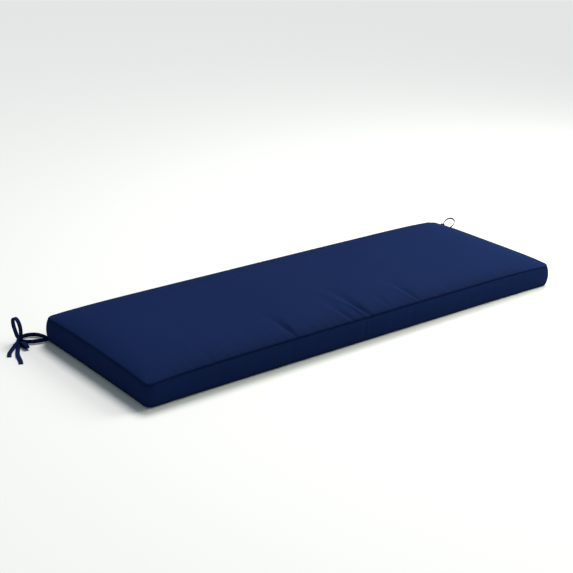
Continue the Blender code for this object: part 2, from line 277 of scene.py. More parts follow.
@dataclass(frozen=True)
class WovenCloth:
    """Closely woven cloth, with its threads laid along each pattern piece, darkened as painted
    shade in its seam creases and over its gathers.
    """

    name: str
    colour: Colour
    yarn: float = 0.00062
    yarn_height: float = 0.00006
    yarn_middle: float = 0.4
    yarn_tone: float = 0.30
    slub_scale: float = 900.0
    slub_tone: float = 0.22
    slub_roughness: float = 0.10
    cloud_scale: float = 5.0
    cloud_tone: float = 0.20
    contrast: float = 0.34
    roughness: float = 0.62
    specular: float = 0.006
    sheen: float = 0.003
    sheen_roughness: float = 0.45
    sheen_tint: Colour = (0.16, 0.30, 0.80)
    pucker_reach: float = 0.0085
    pucker_height: float = 0.0009
    pucker_scale: float = 105.0
    # The crease fields darken the cloth along its seams as painted shade.
    crease_shade_width: float = 0.0016
    crease_painted_shade: float = 0.45
    streak_scale: float = 38.0
    streak_stretch: float = 0.10
    streak_height: float = 0.0048
    # Painted shade over the gathers, which darkens the cloth there.
    gather_painted_shade: float = 0.50

    def threads(self, graph: Graph) -> tuple[Value, Value]:
        """Distances along the cloth's two thread directions, in metres.

        Args:
            graph: The material's nodes.

        Returns:
            The distance along the pattern piece, and the one across it.
        """
        pattern = graph.node("ShaderNodeUVMap", {"uv_map": PATTERN}, {})
        split = graph.node("ShaderNodeSeparateXYZ", {}, {0: pattern.outputs[0]})
        return Value(graph, split.outputs[0]), Value(graph, split.outputs[1])

    def weave(self, along: Value, across: Value) -> Value:
        """Height of a plain weave.

        Args:
            along: Distance along the threads.
            across: Distance across them.

        Returns:
            The height, from 0 to 1.
        """
        warp = (along * (math.pi / self.yarn)).sine()
        weft = (across * (math.pi / self.yarn)).sine()
        crossing = warp * weft * 0.5
        return (abs(warp) * (0.5 + crossing)).larger(abs(weft) * (0.5 - crossing))

    def tone_and_relief(self, graph: Graph, along: Value, across: Value) -> tuple[Value, Any]:
        """What is particular to a piece: a change of tone, which here is painted shade in the seam
        creases and over the gathers, and its coarse relief.

        Args:
            graph: The material's nodes.
            along: Distance along the threads.
            across: Distance across them.

        Returns:
            The change of tone, which is painted shade in the seam creases and over the gathers,
            and a normal.
        """
        seam = graph.attribute(FROM_SEAM)
        place = graph.node("ShaderNodeTexCoord", {}, {}).outputs["Object"]
        near = (seam * (-1.0 / self.pucker_reach)).exp()
        puckers = graph.noise(place, self.pucker_scale, detail=1.0) * near
        # crease is the band along each seam that gets painted shade.
        crease = (seam * (-1.0 / self.crease_shade_width)).exp()
        drawn = graph.node("ShaderNodeCombineXYZ", {}, {0: along, 1: across * self.streak_stretch})
        gathered = graph.attribute(GATHERED)
        streaks = graph.noise(drawn.outputs[0], self.streak_scale, detail=1.5) * gathered
        relief = graph.bump(streaks, self.streak_height, graph.bump(puckers, self.pucker_height))
        # The gathers and the seam creases are darkened here as painted shade.
        return gathered * gathered * -self.gather_painted_shade - crease * self.crease_painted_shade, relief

    def material(self) -> Material:
        """Makes the cloth's material.

        Returns:
            The material.
        """
        graph = Graph(self.name)
        along, across = self.threads(graph)
        place = graph.node("ShaderNodeTexCoord", {}, {}).outputs["Object"]
        threads = self.weave(along, across)
        change, relief = self.tone_and_relief(graph, along, across)
        slubs = graph.noise(place, self.slub_scale, detail=2.0) - 0.5
        clouds = graph.noise(place, self.cloud_scale, detail=2.0) - 0.5
        # change holds each piece's painted shade: in the cover's seam creases and gathers, and in
        # the strips' sunk stitch rows.
        tone = 0.5 + change + (threads - self.yarn_middle) * self.yarn_tone
        tone = tone + slubs * self.slub_tone + clouds * self.cloud_tone
        low = tuple(part * (1.0 - self.contrast) for part in self.colour)
        high = tuple(part * (1.0 + self.contrast) for part in self.colour)
        sockets = {
            "Base Color": graph.blend(tone, low, high),
            "Roughness": self.roughness + slubs * self.slub_roughness,
            "Normal": graph.bump(threads, self.yarn_height, relief),
            "Specular IOR Level": self.specular,
            "Sheen Weight": self.sheen,
            "Sheen Roughness": self.sheen_roughness,
            "Sheen Tint": (*self.sheen_tint, 1.0),
        }
        return graph.material(sockets)


@dataclass(frozen=True)
class StitchedStrip(WovenCloth):
    """The same cloth folded into a strip, with a row of stitches near each edge."""

    stitch_row: float = 0.0043
    row_width: float = 0.0005
    # Painted shade in the sunk stitch rows, between the stitches.
    row_painted_shade: float = 0.45
    row_depth: float = 0.0003
    row_sunk: float = 0.75
    stitch: float = 0.0030
    stitch_tone: float = 0.75
    stitch_from: float = -0.35

    def tone_and_relief(self, graph: Graph, along: Value, across: Value) -> tuple[Value, Any]:
        """A row of sunk stitches along both edges, darker between the stitches as painted shade in
        the sunk row.

        Args:
            graph: The material's nodes.
            along: Distance along the strip.
            across: Distance across it.

        Returns:
            The change of tone, which is painted shade between the stitches and lighter on them,
            and a normal.
        """
        off_row = (abs(across) - self.stitch_row) / self.row_width
        row = (off_row * off_row * -1.0).exp()
        thread = (along * (2 * math.pi / self.stitch)).sine().above(self.stitch_from)
        relief = graph.bump(row * (thread - self.row_sunk), self.row_depth)
        # The sunk row is darkened between the stitches as painted shade, and the stitches are
        # lighter.
        return row * (thread * self.stitch_tone - self.row_painted_shade), relief


@dataclass(frozen=True)
class PaleFloor:
    """The plain pale surface under the cushion."""

    colour: Colour = (0.79, 0.795, 0.815)
    roughness: float = 0.9
    specular: float = 0.1

    def material(self) -> Material:
        """Makes the floor's material.

        Returns:
            The material.
        """
        sockets = {"Base Color": (*self.colour, 1.0), "Roughness": self.roughness}
        sockets["Specular IOR Level"] = self.specular
        return Graph("pale_floor").material(sockets)


@dataclass(frozen=True)
class Gather:
    """A fold that runs into the top panel from a long seam, in metres.

    lean is how far it drifts sideways over its reach, and wander how far it strays from that.
    ridge is the share of its depth that stands up on its left, and ridges the one on both
    sides. skew is the share by which its left is narrower and its right wider. It has the
    share start of its depth at the seam, and all of it from full_from on.
    """

    along: float
    side: Side
    reach: float
    half_width: float
    depth: float
    lean: float = 0.0
    ridge: float = 0.35
    ridges: float = 0.5
    ridge_place: float = 1.7
    ridge_width: float = 1.1
    skew: float = 0.16
    full_from: float = 0.055
    start: float = 0.40
    fade_power: float = 1.5
    width_at_seam: float = 0.30
    width_gained: float = 0.95
    wander: float = 0.004
    wander_scale: Triple = (40.0, 22.0, 0.5)

    def depth_at(self, x: float, from_seam: float) -> float:
        """How far it lowers the panel: a valley between two low ridges.

        Args:
            x: Place along the panel.
            from_seam: Distance from the fold's own seam.

        Returns:
            The depth, below 0 on a ridge.
        """
        if from_seam >= self.reach:
            return 0.0
        share = from_seam / self.reach
        scale = self.wander_scale
        spot = Vector((self.along * scale[0], from_seam * scale[1], scale[2]))
        wander = self.wander * share * noise.noise(spot)
        width = self.half_width * (self.width_at_seam + self.width_gained * share)
        off = (x - self.along - self.lean * share - wander) / width
        off /= 1.0 + math.copysign(self.skew, off)
        left = bell((off + self.ridge_place) / self.ridge_width)
        right = bell((off - self.ridge_place) / self.ridge_width)
        ridge = self.ridge * left + (self.ridges - self.ridge) * right
        onset = self.start + (1.0 - self.start) * smooth_share(from_seam / self.full_from)
        fade = (1.0 - share**self.fade_power) ** self.fade_power
        return self.depth * onset * fade * (bell(off) - ridge)


@dataclass(frozen=True)
class Wrinkle:
    """An upright wrinkle in the band, in metres."""

    along: float
    side: Side
    half_width: float
    depth: float
    spread: float = 0.62

    def depth_at(self, x: float) -> float:
        """How far it draws the band in at a place along it."""
        return self.depth * bell((x - self.along) / (self.spread * self.half_width))


FRONT, BACK = Side
# Each has its place along the seam, its side, reach, half width, depth and lean.
GATHERS = (
    Gather(-0.365, FRONT, 0.070, 0.013, 0.0018, 0.002),
    Gather(-0.278, FRONT, 0.090, 0.012, 0.0024, 0.003),
    Gather(-0.262, FRONT, 0.190, 0.017, 0.0064, 0.008, ridge=0.16),
    Gather(-0.073, FRONT, 0.170, 0.017, 0.0050, 0.010, ridge=0.40),
    Gather(-0.036, FRONT, 0.120, 0.009, 0.0015, 0.002),
    Gather(-0.014, FRONT, 0.290, 0.022, 0.0080, 0.018, ridge=0.44),
    Gather(0.032, FRONT, 0.090, 0.010, 0.0018, 0.004),
    Gather(0.070, FRONT, 0.140, 0.015, 0.0034, 0.006),
    Gather(0.115, FRONT, 0.070, 0.012, 0.0016, -0.002),
    Gather(0.170, FRONT, 0.190, 0.017, 0.0058, 0.008),
    Gather(0.225, FRONT, 0.070, 0.012, 0.0018, 0.002),
    Gather(0.285, FRONT, 0.070, 0.013, 0.0016, -0.003),
    Gather(-0.120, BACK, 0.090, 0.012, 0.0022, 0.016),
    Gather(-0.005, BACK, 0.110, 0.012, 0.0026, 0.020),
    Gather(0.200, BACK, 0.080, 0.012, 0.0020, 0.014),
)
# Each has its place along the band, its side, half width and depth.
WRINKLES = (
    Wrinkle(-0.500, FRONT, 0.016, 0.0012),
    Wrinkle(-0.278, FRONT, 0.013, 0.0016),
    Wrinkle(-0.030, FRONT, 0.011, 0.0020),
    Wrinkle(-0.009, FRONT, 0.011, 0.0020),
    Wrinkle(0.003, FRONT, 0.007, 0.0009),
    Wrinkle(0.014, FRONT, 0.009, 0.0015),
    Wrinkle(0.027, FRONT, 0.008, 0.0008),
    Wrinkle(0.140, FRONT, 0.013, 0.0014),
    Wrinkle(0.020, BACK, 0.016, 0.0014),
)


@dataclass
class Cover:
    """The sewn cover over its filling, one closed skin, in metres."""

    finish: WovenCloth
    length: float = 1.415
    depth: float = 0.510
    seam_height: float = 0.0665
    seam_rise: float = 0.003
    seam_drop: float = 0.008
    seam_drop_power: float = 7.0
    end_drop_share: float = 0.1
    crown: float = 0.0115
    crown_end_power: float = 11.0
    crown_side_power: float = 2.5
    shoulder: float = 0.62
    shoulder_reach: float = 0.022
    corner_radius: float = 0.020
    side_pull: float = 0.003
    end_pull: float = 0.002
    band_bulge: float = 0.005
    bulge_power: float = 2.2
    roll_radius: float = 0.004
    roll_spread: float = 0.050
    seam_recess: float = 0.0016
    lower_seam_height: float = 0.0025
    lower_seam_width: float = 0.009
    gather_start: float = 0.006
    slack: float = 0.0005
    slack_scale: Triple = (9.0, 13.0, 2.7)
    band_slack_scale: Pair = (14.0, 1.3)
    edge_steps: tuple[float, ...] = (0.0014, 0.0032, 0.0058, 0.0095, 0.0145, 0.021, 0.032)
    levels: tuple[float, ...] = (0.03, 0.10, 0.22, 0.36, 0.50, 0.64, 0.78, 0.90, 0.97)
    widest_along: float = 0.0155
    widest_fold: float = 0.0043
    near_fold: float = 0.020
    widest_across: float = 0.0135
    seam_sharpness: float = 0.85
    fill: float = 0.8
    pressure: float = 4.0
    cloth_quality: int = 6
    cloth_mass: float = 0.15
    cloth_stretch: float = 20.0
    cloth_shear: float = 6.0
    cloth_bending: float = 0.25
    firmness: float = 0.16
    seam_hold: float = 0.85
    seam_hold_reach: float = 0.005
    ease: float = 0.070
    ease_spread: float = 0.026
    seam_ease: float = 0.22
    seam_ease_reach: float = 0.028
    cap: float = 0.0045
    frames: int = 20
    streak_reach: float = 0.060
    streak_end_power: float = 10.0
    streak_share_on_band: float = 0.55
    streak_share_on_ends: float = 0.35
    gathers: tuple[Gather, ...] = GATHERS
    wrinkles: tuple[Wrinkle, ...] = WRINKLES
    half_length: float = field(init=False)
    half_depth: float = field(init=False)

    def __post_init__(self) -> None:
        """Works out the half sizes."""
        self.half_length = self.length / 2
        self.half_depth = self.depth / 2

    def inside(self, x: float, y: float) -> float:
        """How far a point is from the nearest side of the plain rectangle."""
        return min(self.half_length - abs(x), self.half_depth - abs(y))

    def shares(self, x: float, y: float) -> Pair:
        """How far out a point is along and across, as shares of the half sizes."""
        return min(abs(x) / self.half_length, 1.0), min(abs(y) / self.half_depth, 1.0)

    def stations(self, half: float, widest: float, folds: Iterable[float]) -> list[float]:
        """Places where the skin is cut along one direction.

        Args:
            half: Half the size along that direction.
            widest: The widest spacing away from folds.
            folds: Places that need closer cuts around them.

        Returns:
            The places in order, ends included.
        """
        edges = [half, *(half - step for step in self.edge_steps)]
        marks = sorted({-place for place in edges} | set(edges))
        near = sorted(folds)
        places = [marks[0]]
        for mark in marks[1:]:
            while mark - places[-1] > TOUCHING:
                here = places[-1]
                close = any(abs(here - fold) < self.near_fold for fold in near)
                step = self.widest_fold if close else widest
                left = mark - here
                places.append(here + left / math.ceil(left / step - TOUCHING))
        return places

    def rolled_in(self, distance: float) -> float:
        """Draws a panel point in, because the cloth first stands up in a roll.

        Args:
            distance: Its distance from the seam along the cloth.

        Returns:
            Its distance from the seam in plan.
        """
        arc = self.roll_radius * math.pi / 2
        if distance <= arc:
            return self.roll_radius * (1.0 - math.cos(distance / self.roll_radius))
        share = smooth_share((distance - arc) / (self.roll_spread - arc))
        return distance - (arc - self.roll_radius) * (1.0 - share)

    def plan(self, x: float, y: float, rolled: bool) -> tuple[float, float, Pair]:
        """Where a point of the plain rectangle lies in plan.

        Args:
            x: Place along the rectangle.
            y: Place across it.
            rolled: Whether the point is on the top panel.

        Returns:
            Its place along and across, and the outward direction there.
        """
        sign_x, sign_y = math.copysign(1.0, x), math.copysign(1.0, y)
        from_end, from_side = self.half_length - abs(x), self.half_depth - abs(y)
        outward = (sign_x, 0.0) if from_end < from_side else (0.0, sign_y)
        if rolled:
            x = sign_x * (self.half_length - self.rolled_in(max(from_end, 0.0)))
            y = sign_y * (self.half_depth - self.rolled_in(max(from_side, 0.0)))
        radius = self.corner_radius
        inner_x, inner_y = self.half_length - radius, self.half_depth - radius
        over_x, over_y = max(abs(x) - inner_x, 0.0) / radius, max(abs(y) - inner_y, 0.0) / radius
        if over_x > 0 and over_y > 0:
            if over_x >= over_y:
                angle = math.pi / 4 * over_y / over_x
            else:
                angle = math.pi / 2 - math.pi / 4 * over_x / over_y
            outward = (sign_x * math.cos(angle), sign_y * math.sin(angle))
            reach = radius * max(over_x, over_y)
            x = sign_x * inner_x + reach * outward[0]
            y = sign_y * inner_y + reach * outward[1]
        share_x, share_y = x / self.half_length, y / self.half_depth
        pulled_x = x - self.end_pull * sign_x * share_x**4 * (1.0 - share_y**2)
        pulled_y = y - self.side_pull * sign_y * share_y**2 * (1.0 - share_x**4)
        return pulled_x, pulled_y, outward

    def seam_at(self, x: float, y: float) -> float:
        """Height of the upper seam, which rises to the back and drops towards the corners.

        Args:
            x: Place along the rectangle.
            y: Place across it.

        Returns:
            The height.
        """
        rise = self.seam_rise * smooth_share(0.5 + y / self.depth)
        share_x, share_y = self.shares(x, y)
        towards_corner = self.end_drop_share + (1.0 - self.end_drop_share) * share_y**4
        drop = self.seam_drop * share_x**self.seam_drop_power * towards_corner
        return self.seam_height + rise - drop

    def fullness(self, from_seam: float, share: float, power: float) -> float:
        """Share of the crown at a point: a quick rise beside the seam, then a slow one."""
        shoulder = 1.0 - math.exp(-max(from_seam, 0.0) / self.shoulder_reach)
        return self.shoulder * shoulder + (1.0 - self.shoulder) * (1.0 - share**power)

    def panel_at(self, x: float, y: float, inside: float) -> float:
        """Height of the top panel, gathers and slack included.

        Args:
            x: Place along the panel.
            y: Place across it.
            inside: Distance from the nearest seam.

        Returns:
            The height.
        """
        share_x, share_y = self.shares(x, y)
        full = self.fullness(self.half_length - abs(x), share_x, self.crown_end_power)
        full *= self.fullness(self.half_depth - abs(y), share_y, self.crown_side_power)
        lowered = sum(
            fold.depth_at(x, self.half_depth - fold.side.value * y) for fold in self.gathers
        )
        lowered *= smooth_share(inside / self.gather_start)
        scale = self.slack_scale
        soft = self.slack * full * noise.noise(Vector((x * scale[0], y * scale[1], scale[2])))
        roll = self.roll_radius * math.sin(min(inside / self.roll_radius, math.pi / 2))
        return self.seam_at(x, y) + roll + self.crown * full - lowered + soft

    def point(self, x: float, y: float, level: float) -> Vector:
        """Where a point of the plain box lies on the filled cushion.

        Args:
            x: Place along the plain box.
            y: Place across it.
            level: Share of its height, 0 for the underside and 1 for the top panel.

        Returns:
            The place.
        """
        inside = max(self.inside(x, y), 0.0)
        placed_x, placed_y, outward = self.plan(x, y, level >= 1.0)
        lower = self.lower_seam_height * max(0.0, 1.0 - inside / self.lower_seam_width) ** 2
        if level >= 1.0:
            height = self.panel_at(x, y, inside)
        else:
            height = lower + (self.seam_at(x, y) - lower) * level
        out = 0.0
        if inside < TOUCHING:
            if 0.0 < level < 1.0:
                drawn = sum(
                    fold.depth_at(x) for fold in self.wrinkles if fold.side.value * y > 0
                )
                wide, high = self.band_slack_scale
                soft = noise.noise(Vector((x * wide, y * wide, level * high))) * self.slack
                out = self.band_bulge * (1.0 - abs(2.0 * level - 1.0) ** self.bulge_power)
                out += (soft - drawn) * math.sin(math.pi * level)
            else:
                out = -self.seam_recess
        return Vector((placed_x + out * outward[0], placed_y + out * outward[1], height))

    def build(self) -> Object:
        """Makes the cover's mesh, with its pattern laid out in metres.

        Returns:
            The cover.
        """
        folds = [fold.along for fold in (*self.gathers, *self.wrinkles)]
        xs = self.stations(self.half_length, self.widest_along, folds)
        ys = self.stations(self.half_depth, self.widest_across, [])
        zs = [0.0, *self.levels, 1.0]
        skin = bmesh.new()
        distance = skin.verts.layers.float.new(FROM_SEAM)
        gathered = skin.verts.layers.float.new(GATHERED)
        weights = skin.verts.layers.deform.new()
        pattern = skin.loops.layers.uv.new(PATTERN)
        crease = skin.edges.layers.float.new("crease_edge")
        verts: dict[tuple[int, int, int], bmesh.types.BMVert] = {}

        def vert(corner: tuple[int, int, int]) -> bmesh.types.BMVert:
            """Finds or makes the skin's vertex at a corner of the cut box.

            Args:
                corner: Its numbers along, across and up.

            Returns:
                The vertex.
            """
            if corner not in verts:
                x, y, level = xs[corner[0]], ys[corner[1]], zs[corner[2]]
                made = skin.verts.new(self.point(x, y, level))
                inside = self.inside(x, y)
                made[distance] = max(inside, min(level, 1.0 - level) * self.seam_height)
                sewn = level == 0.0 or (level == 1.0 and inside < TOUCHING)
                hold = self.seam_hold * bell(made[distance] / self.seam_hold_reach)
                made[weights][0] = 1.0 if sewn else max(self.firmness, hold)
                made[weights][1] = self.ease_at(x, y, level)
                made[gathered] = self.gathered_at(x, y, level)
                verts[corner] = made
            return verts[corner]

        last_x, last_y, last_z = len(xs) - 1, len(ys) - 1, len(zs) - 1

        def face(corners: list[tuple[int, int, int]], flat: list[Pair]) -> None:
            """Makes one quad of the skin.

            Args:
                corners: Its corners' numbers.
                flat: Where the corners lie on its pattern piece.
            """
            made = skin.faces.new([vert(corner) for corner in corners])
            made.smooth = True
            for loop, place in zip(made.loops, flat):
                loop[pattern].uv = place

        for i in range(last_x):
            for j in range(last_y):
                ring = [(i, j), (i + 1, j), (i + 1, j + 1), (i, j + 1)]
                flat = [(xs[a], ys[b]) for a, b in ring]
                face([(a, b, last_z) for a, b in ring], flat)
                face([(a, b, 0) for a, b in reversed(ring)], flat[::-1])
        rim = [(i, 0) for i in range(last_x)] + [(last_x, j) for j in range(last_y)]
        rim += [(i, last_y) for i in range(last_x, 0, -1)] + [(0, j) for j in range(last_y, 0, -1)]
        sides = list(zip(rim, rim[1:] + rim[:1]))
        run = 0.0
        for (a, b), (c, d) in sides:
            width = math.hypot(xs[c] - xs[a], ys[d] - ys[b])
            for k in range(last_z):
                low, high = zs[k] * self.seam_height, zs[k + 1] * self.seam_height
                flat = [(run, low), (run + width, low), (run + width, high), (run, high)]
                face([(a, b, k), (c, d, k), (c, d, k + 1), (a, b, k + 1)], flat)
            run += width
        for k in (0, last_z):
            for (a, b), (c, d) in sides:
                edge = skin.edges.get((verts[a, b, k], verts[c, d, k]))
                edge[crease] = self.seam_sharpness
        mesh = bpy.data.meshes.new("cushion_cover")
        skin.to_mesh(mesh)
        skin.free()
        cover = put_in_scene("cushion_cover", mesh)
        cover.vertex_groups.new(name="held")
        cover.vertex_groups.new(name="ease")
        return cover

    def gathered_at(self, x: float, y: float, level: float) -> float:
        """How strong the fine streaks and the painted shade over the gathers are at a point: they
        run in from the long seams.

        Args:
            x: Place along the plain box.
            y: Place across it.
            level: Share of its height.

        Returns:
            The strength, from 0 to 1.
        """
        along = 1.0 - self.shares(x, y)[0] ** self.streak_end_power
        if level >= 1.0:
            return along * math.exp(-(self.half_depth - abs(y)) / self.streak_reach)
        on_end = abs(x) > self.half_length - TOUCHING
        share = self.streak_share_on_ends if on_end else self.streak_share_on_band * along
        return share * math.sin(math.pi * level)

    def ease_at(self, x: float, y: float, level: float) -> float:
        """Share of the extra cloth at a point: it is bunched at the gathers and wrinkles.

        Args:
            x: Place along the plain box.
            y: Place across it.
            level: Share of its height.

        Returns:
            The share.
        """
        if level <= 0.0:
            return 0.0
        if level < 1.0:
            near = [
                bell((x - fold.along) / self.ease_spread)
                for fold in self.wrinkles
                if fold.side.value * y > 0 and abs(y) > self.half_depth - TOUCHING
            ]
            return min(1.0, sum(near) + self.seam_ease) * math.sin(math.pi * level)
        share = 0.0
        for fold in self.gathers:
            from_seam = self.half_depth - fold.side.value * y
            fade = 1.0 - smooth_share(from_seam / fold.reach)
            share += fade * bell((x - fold.along) / self.ease_spread)
        at_seam = self.seam_ease * math.exp(-self.inside(x, y) / self.seam_ease_reach)
        return min(1.0, share + at_seam)

    def settle(self, cover: Object) -> None:
        """Lets the filling press the cloth out, so that it buckles where it is gathered.

        The seams and the underside stay where they are, the filling's firmness holds the rest
        near its place, and no point moves further than the cap.

        Args:
            cover: The cover, before it is smoothed.
        """
        mesh = cover.data
        before = np.empty(len(mesh.vertices) * 3)
        mesh.vertices.foreach_get("co", before)
        cloth = cover.modifiers.new("filling", "CLOTH")
        cloth.point_cache.frame_start = 1
        cloth.point_cache.frame_end = self.frames
        settings = cloth.settings
        settings.quality = self.cloth_quality
        settings.mass = self.cloth_mass
        settings.tension_stiffness = self.cloth_stretch
        settings.compression_stiffness = self.cloth_stretch
        settings.shear_stiffness = self.cloth_shear
        settings.bending_stiffness = self.cloth_bending
        settings.use_pressure = True
        settings.uniform_pressure_force = self.pressure
        settings.vertex_group_mass = "held"
        settings.vertex_group_shrink = "ease"
        settings.shrink_min = 0.0
        settings.shrink_max = -self.ease
        settings.effector_weights.gravity = 0.0
        for frame in range(1, self.frames + 1):
            bpy.context.scene.frame_set(frame)
        settled = cover.evaluated_get(bpy.context.evaluated_depsgraph_get())
        after = np.empty_like(before)
        settled.data.vertices.foreach_get("co", after)
        cover.modifiers.remove(cloth)
        bpy.context.scene.frame_set(1)
        moved = (after - before).reshape(-1, 3)
        far = np.linalg.norm(moved, axis=1, keepdims=True)
        moved *= self.cap * np.tanh(far / self.cap) / np.maximum(far, 1e-9)
        mesh.vertices.foreach_set("co", before + moved.ravel())
        mesh.update()
        far *= 1000.0
        LOG.info("before the cap: %.1f mm at most, %.2f mm on average", far.max(), far.mean())

    def dress(self) -> Object:
        """Builds the cover, smooths it and gives it its cloth.

        Returns:
            The cover.
        """
        cover = self.build()
        self.settle(cover)
        cover.vertex_groups.clear()
        smoothing = cover.modifiers.new("soft form", "SUBSURF")
        smoothing.levels = smoothing.render_levels = 1
        cover.data.materials.append(self.finish.material())
        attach(cover, "root")
        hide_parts("cushion")
        return cover


class Step(NamedTuple):
    """A step of a strip's route from its corner, in metres.

    out and back lead away from the cushion, up is above the surface, turn is the direction of
    the strip's width in plan in degrees, and stand is 1 where it stands on edge.
    """

    out: float
    back: float
    up: float
    turn: float = 0.0
    stand: float = 0.0


class Loop(NamedTuple):
    """A loop of a bow, in metres.

    heading is where it points in plan, tilt how far up, and twist how far its strip is turned,
    all three in degrees.
    """

    heading: float
    length: float
    height: float
    tilt: float
    twist: float = 0.0


@dataclass(frozen=True)
class Strand:
    """One strip of a tie, from its corner through its loop to its free end."""

    start: tuple[Step, ...]
    loop: Loop
    tail: tuple[Step, ...]


# A loop's outline from the knot and back to it, as shares of its length and height.
LOOP_OUTLINE = (
    (0.06, 0.13), (0.26, 0.02), (0.50, 0.00), (0.74, 0.05), (0.93, 0.24), (1.00, 0.52),
    (0.93, 0.82), (0.74, 1.00), (0.50, 0.93), (0.27, 0.66), (0.06, 0.36),
)
# Height of a strip's middle where it stands on its edge, and where it lies flat.
ON_EDGE = 0.0063
LYING = 0.0012


@dataclass
class Tie:
    """The tie at one back corner: two strips in a bow, and its knot, in metres."""

    name: str
    corner: Corner
    knot: Pair
    strands: tuple[Strand, ...]
    finish: WovenCloth
    exit: Pair = (0.7044, 0.2469)
    width: float = 0.012
    thickness: float = 0.0018
    step: float = 0.003
    squeeze: float = 0.62
    squeeze_reach: float = 0.016
    bunching: float = 0.4
    least_turn: float = 0.2
    knot_size: Triple = (0.0085, 0.0080, 0.0066)
    knot_lift: float = 0.0004
    knot_floor: float = 0.0006
    knot_wraps: int = 5
    wrap_relief: float = 0.07
    wrap_slant: float = 0.8
    waist: float = 0.10
    waist_reach: float = 0.85
    section: tuple[Pair, ...] = (
        (-1.00, 0.00), (-0.96, 0.75), (-0.86, 1.00), (-0.72, 0.62), (-0.56, 0.95), (0.00, 1.00),
        (0.56, 0.95), (0.72, 0.62), (0.86, 1.00), (0.96, 0.75), (1.00, 0.00),
    )

    def placed(self, out: float, back: float, up: float) -> Vector:
        """A place given from this tie's corner."""
        sign = self.corner.value
        return Vector((sign * (self.exit[0] + out), self.exit[1] + back, up))

    def loop_steps(self, loop: Loop) -> list[Step]:
        """A loop as steps: a drop shape that stands up from the knot.

        Args:
            loop: The loop.

        Returns:
            The steps in order.
        """
        heading, tilt = math.radians(loop.heading), math.radians(loop.tilt)
        turn = (loop.heading + 180.0) % 180.0 - 90.0 + loop.twist
        steps = []
        for share_along, share_up in LOOP_OUTLINE:
            along = loop.length * share_along
            up = (loop.height - self.thickness) * share_up
            reach = along * math.cos(tilt) - up * math.sin(tilt)
            out = self.knot[0] + reach * math.cos(heading)
            back = self.knot[1] + reach * math.sin(heading)
            risen = LYING + along * math.sin(tilt) + up * math.cos(tilt)
            steps.append(Step(out, back, risen, turn))
        return steps

    def strip(self, number: int, strand: Strand, cloth: Material) -> Object:
        """Args:
            number: Which of the tie's strips it is.
            strand: Its route.
            cloth: What it is made of.

        Returns:
            The strip.
        """
        steps = [*strand.start, *self.loop_steps(strand.loop), *strand.tail]
        rows = curve_through(steps, self.step)
        places = [self.placed(row[0], row[1], max(row[2], LYING)) for row in rows]
        knot = self.placed(*self.knot, self.knot_size[2])
        shape = bmesh.new()
        pattern = shape.loops.layers.uv.new(PATTERN)
        upper = list(self.section)
        ring_shape = upper + [(across, -up) for across, up in upper[-2:0:-1]]
        rings: list[list[bmesh.types.BMVert]] = []
        runs: list[float] = []
        run = 0.0
        side = Vector((0.0, 0.0, 1.0))
        neighbours = zip([places[0], *places], [*places[1:], places[-1]])
        for row, place, (before, after) in zip(rows, places, neighbours):
            forward = (after - before).normalized()
            turn, upright = math.radians(row[3]), math.radians(90.0 * row[4])
            flat = Vector((self.corner.value * math.cos(turn), math.sin(turn), 0.0))
            wanted = flat * math.cos(upright) + Vector((0.0, 0.0, math.sin(upright)))
            wanted -= forward * wanted.dot(forward)
            side = wanted.normalized() if wanted.length > self.least_turn else side
            thick = forward.cross(side)
            pinch = smooth_share((place - knot).length / self.squeeze_reach)
            wide = self.width / 2 * (self.squeeze + (1.0 - self.squeeze) * pinch)
            deep = self.thickness / 2 * (1.0 + self.bunching - self.bunching * pinch)
            ring = [place + side * wide * a + thick * deep * u for a, u in ring_shape]
            rings.append([shape.verts.new(corner) for corner in ring])
            run += (place - before).length
            runs.append(run)
        count = len(ring_shape)
        for index in range(len(rings) - 1):
            for spot in range(count):
                beside = (spot + 1) % count
                quad = [(index, spot), (index, beside), (index + 1, beside), (index + 1, spot)]
                made = shape.faces.new([rings[a][b] for a, b in quad])
                made.smooth = True
                for loop, (a, b) in zip(made.loops, quad):
                    loop[pattern].uv = (runs[a], ring_shape[b][0] * self.width / 2)
        for ring in (rings[0][::-1], rings[-1]):
            shape.faces.new(ring)
        bmesh.ops.recalc_face_normals(shape, faces=shape.faces)
        name = f"{self.name}_strip_{number}"
        mesh = bpy.data.meshes.new(name)
        shape.to_mesh(mesh)
        shape.free()
        strip = self.add(name, mesh, cloth)
        tuple(self.placed(0.0, 0.0, ON_EDGE))
        [tuple(place) for place in places]
        LOG.info("%s: %.0f mm long", name, run * 1000)
        return strip

    def wrapped_knot(self, cloth: Material) -> Object:
        """Makes the bow's knot, a small wrap of the same strip.

        Args:
            cloth: What it is made of.

        Returns:
            The knot.
        """
        shape = bmesh.new()
        bmesh.ops.create_uvsphere(shape, u_segments=48, v_segments=28, radius=1.0)
        pattern = shape.loops.layers.uv.new(PATTERN)
        centre = self.placed(*self.knot, self.knot_size[2] + self.knot_lift)
        for vert in shape.verts:
            around = math.atan2(vert.co.z, vert.co.y)
            slant = self.wrap_slant * math.sin(around)
            fold = 1.0 + self.wrap_relief * math.cos(self.knot_wraps * 2.0 * vert.co.x + slant)
            middle = math.exp(-((vert.co.x / self.waist_reach) ** 8))
            waist = 1.0 - self.waist * middle * vert.co.x**2
            scaled = (vert.co.x, vert.co.y * fold * waist, vert.co.z * fold * waist)
            vert.co = Vector(part * size for part, size in zip(scaled, self.knot_size)) + centre
            vert.co.z = max(vert.co.z, self.knot_floor)
        for face in shape.faces:
            face.smooth = True
            for loop in face.loops:
                off = loop.vert.co - centre
                loop[pattern].uv = (off.x, off.y * 0.5)
        mesh = bpy.data.meshes.new(f"{self.name}_knot")
        shape.to_mesh(mesh)
        shape.free()
        return self.add(f"{self.name}_knot", mesh, cloth)

